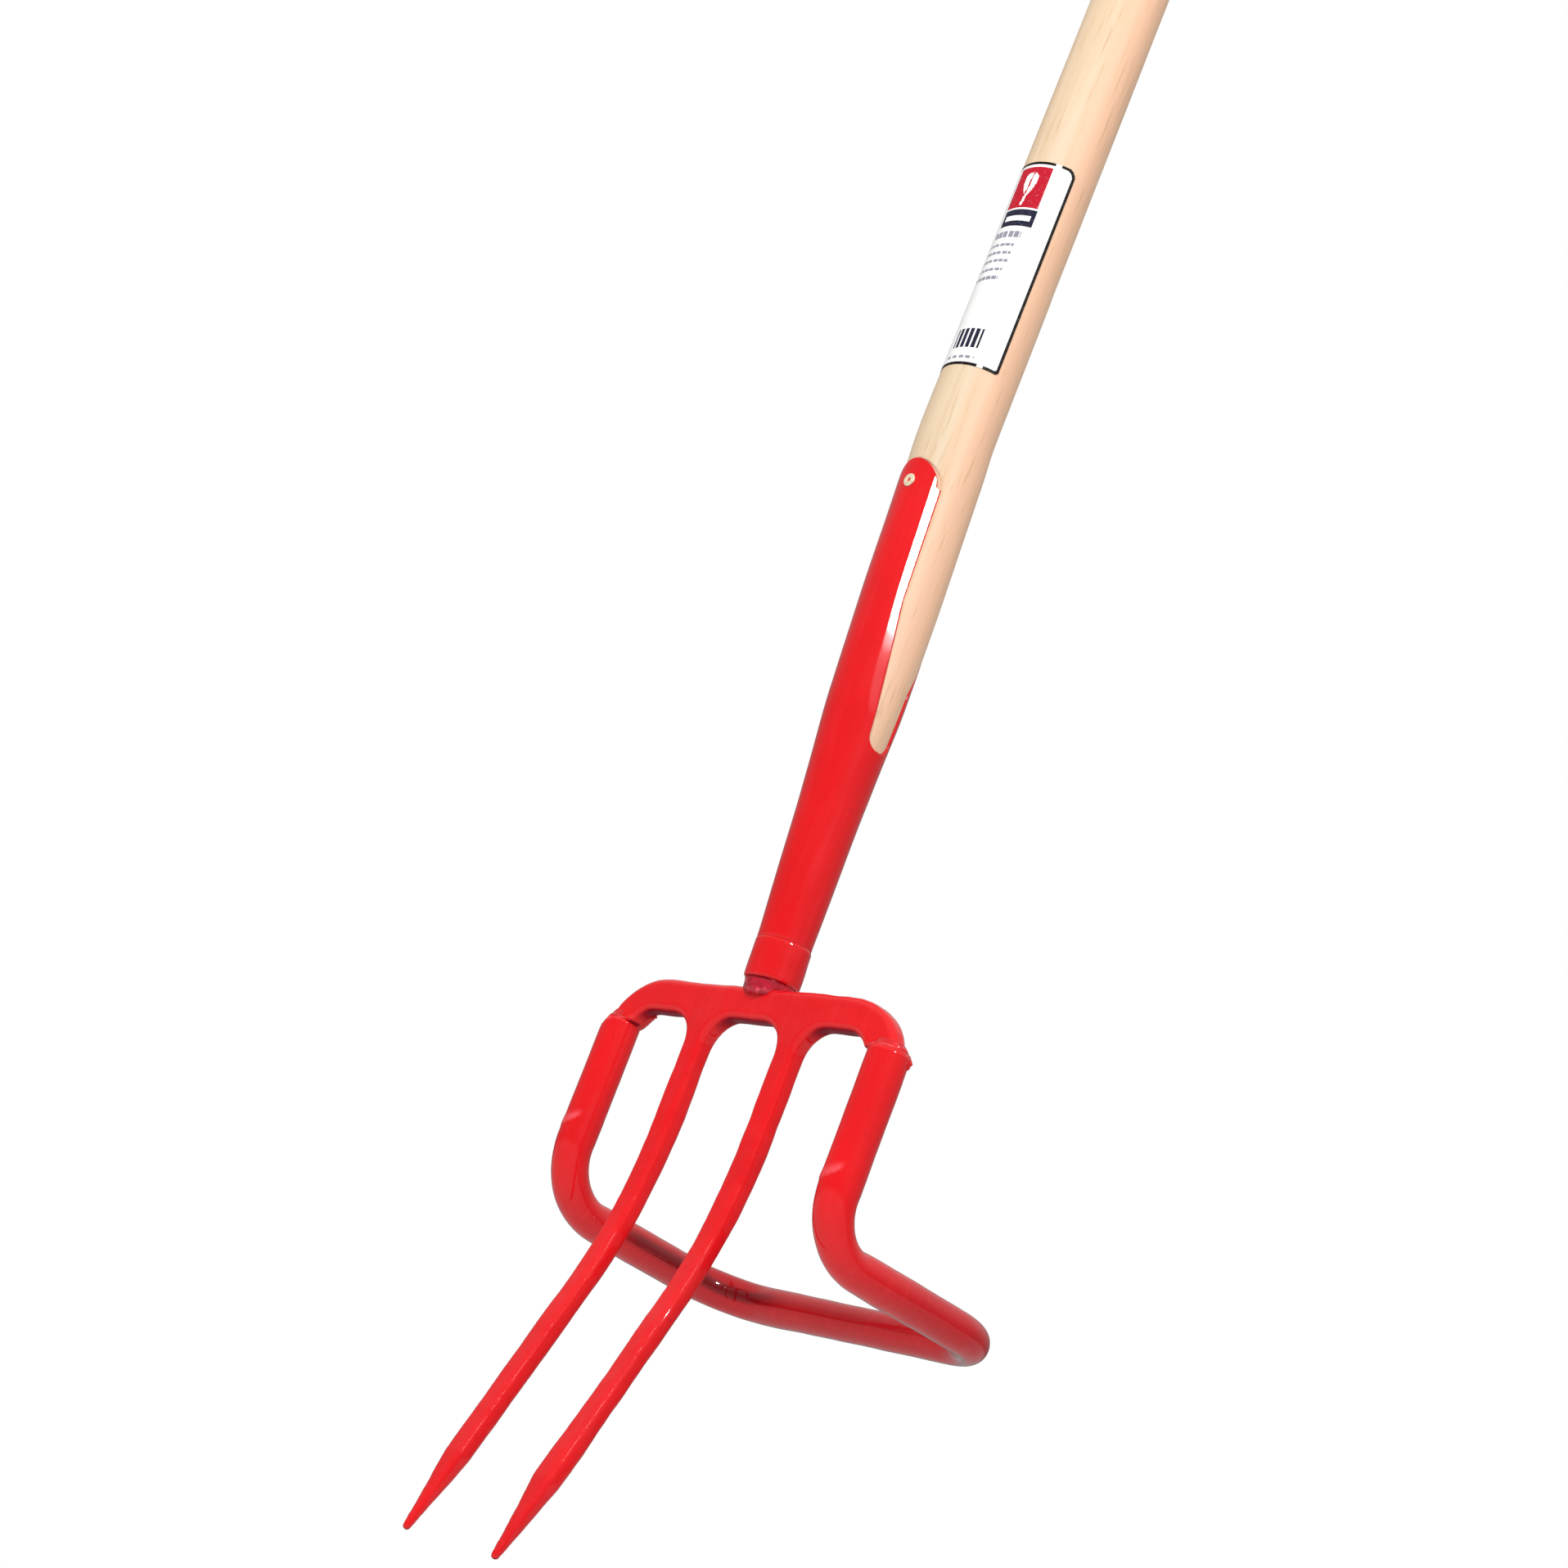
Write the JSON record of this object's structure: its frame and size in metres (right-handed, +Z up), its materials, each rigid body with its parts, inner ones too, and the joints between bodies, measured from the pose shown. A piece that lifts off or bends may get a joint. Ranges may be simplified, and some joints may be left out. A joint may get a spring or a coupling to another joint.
{
  "type": "root-lifting garden fork",
  "caption": "Long-shafted garden fork with forward-curved forged tines, a tubular fulcrum hoop behind them and a strapped conical socket on a wooden shaft.",
  "frame": {"origin": "centre of the bounding box's bottom face, at the height of the tine tips", "axes": "+Z up along the upper shaft, +X to the tool's right seen from the front, +Y to the back, where the fulcrum hoop is"},
  "size_m": [0.2146, 0.1996, 1.574],
  "materials": {
    "shaft_wood": "satin",
    "red_paint": "gloss",
    "rivet_metal": "satin",
    "label_paper": "satin"
  },
  "bodies": {
    "root": {"handle": "shaft_wood", "socket": "red_paint", "socket_collar": "red_paint", "neck_weld": "red_paint", "fork_head": "red_paint", "fulcrum_hoop": "red_paint", "left_hoop_weld": "red_paint", "right_hoop_weld": "red_paint", "strap_rivet": "rivet_metal", "shaft_label": "label_paper"}
  },
  "joints": []
}
